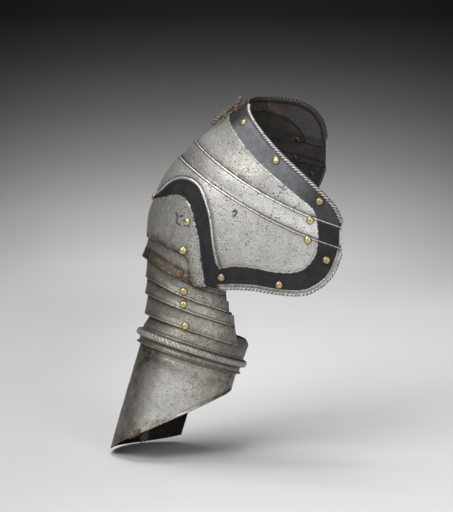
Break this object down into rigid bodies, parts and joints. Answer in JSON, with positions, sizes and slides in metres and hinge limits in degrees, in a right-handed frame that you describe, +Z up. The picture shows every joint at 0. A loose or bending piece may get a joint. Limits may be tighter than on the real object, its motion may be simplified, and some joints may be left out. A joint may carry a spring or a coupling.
{
  "type": "pauldron",
  "caption": "Articulated steel shoulder defence with winged main plate, lames, roped borders, sunk black bands and a turning upper arm cannon",
  "frame": {"origin": "at the lace holes on the shoulder ridge near the neck opening, where the lace ties the pauldron to the neck defence", "axes": "+Z up as worn with the arm hanging, +X towards the wearer's neck, -Y towards the front"},
  "size_m": [0.2729, 0.2274, 0.4249],
  "materials": {
    "steel_plates": "worn polish with sunk bands painted black",
    "brass_rivets": "domed brass caps, dulled",
    "leather_lace": "twisted thong, dry and worn",
    "leather_strap": "dry, brown"
  },
  "bodies": {
    "neck_lame": {"neck_lame": "steel_plates", "lace": "leather_lace", "neck_rivet_front_1": "brass_rivets", "neck_rivet_front_2": "brass_rivets", "neck_rivet_front_3": "brass_rivets", "neck_rivet_back_1": "brass_rivets", "neck_rivet_back_2": "brass_rivets", "neck_rivet_back_3": "brass_rivets"},
    "upper_lame": {"upper_lame": "steel_plates", "upper_pivot_front": "brass_rivets", "upper_pivot_back": "brass_rivets"},
    "main_plate": {"main_plate": "steel_plates", "main_pivot_front": "brass_rivets", "main_pivot_back": "brass_rivets", "wing_rivet_front_1": "brass_rivets", "wing_rivet_front_2": "brass_rivets", "wing_rivet_front_3": "brass_rivets", "wing_rivet_back_1": "brass_rivets", "wing_rivet_back_2": "brass_rivets", "wing_rivet_back_3": "brass_rivets", "arch_rivet_front": "brass_rivets", "arch_rivet_back": "brass_rivets", "strap_rivet_side": "brass_rivets"},
    "lower_lame_1": {"lower_lame_1": "steel_plates", "main_lame_pivot_front": "brass_rivets", "main_lame_pivot_back": "brass_rivets"},
    "lower_lame_2": {"lower_lame_2": "steel_plates", "lame_pivot_1_front": "brass_rivets", "lame_pivot_1_back": "brass_rivets"},
    "lower_lame_3": {"lower_lame_3": "steel_plates", "lame_pivot_2_front": "brass_rivets", "lame_pivot_2_back": "brass_rivets"},
    "lower_lame_4": {"lower_lame_4": "steel_plates", "lame_pivot_3_front": "brass_rivets", "lame_pivot_3_back": "brass_rivets"},
    "turner": {"turner": "steel_plates", "turner_pivot_front": "brass_rivets", "turner_pivot_back": "brass_rivets"},
    "upper_cannon": {"upper_cannon": "steel_plates", "cannon_leather": "leather_strap"}
  },
  "joints": [
    {"name": "upper_lame_pivot", "type": "hinge", "parent": "neck_lame", "child": "upper_lame", "pos_m": [0.0728, 0, -0.0394], "axis": [0, 1, 0], "range_deg": [0, 3]},
    {"name": "main_plate_pivot", "type": "hinge", "parent": "upper_lame", "child": "main_plate", "pos_m": [0.0702, 0, -0.0621], "axis": [0, 1, 0], "range_deg": [0, 3]},
    {"name": "lower_lame_1_pivot", "type": "hinge", "parent": "main_plate", "child": "lower_lame_1", "pos_m": [-0.0666, 0, -0.1676], "axis": [0, 0.9936, -0.1132], "range_deg": [0, 8]},
    {"name": "lower_lame_2_pivot", "type": "hinge", "parent": "lower_lame_1", "child": "lower_lame_2", "pos_m": [-0.0709, 0, -0.1944], "axis": [0, 0.9936, -0.1132], "range_deg": [0, 8]},
    {"name": "lower_lame_3_pivot", "type": "hinge", "parent": "lower_lame_2", "child": "lower_lame_3", "pos_m": [-0.0661, 0, -0.2155], "axis": [0, 0.9936, -0.1132], "range_deg": [0, 6]},
    {"name": "lower_lame_4_pivot", "type": "hinge", "parent": "lower_lame_3", "child": "lower_lame_4", "pos_m": [-0.0664, 0, -0.2307], "axis": [0, 0.9936, -0.1132], "range_deg": [0, 8]},
    {"name": "turner_pivot", "type": "hinge", "parent": "lower_lame_4", "child": "turner", "pos_m": [-0.0646, 0, -0.2563], "axis": [0, 0.9936, -0.1132], "range_deg": [0, 8]},
    {"name": "cannon_turn", "type": "hinge", "parent": "turner", "child": "upper_cannon", "pos_m": [-0.062, -0.0042, -0.296], "axis": [0.3072, 0.1077, 0.9455], "range_deg": [-60, 60]}
  ]
}
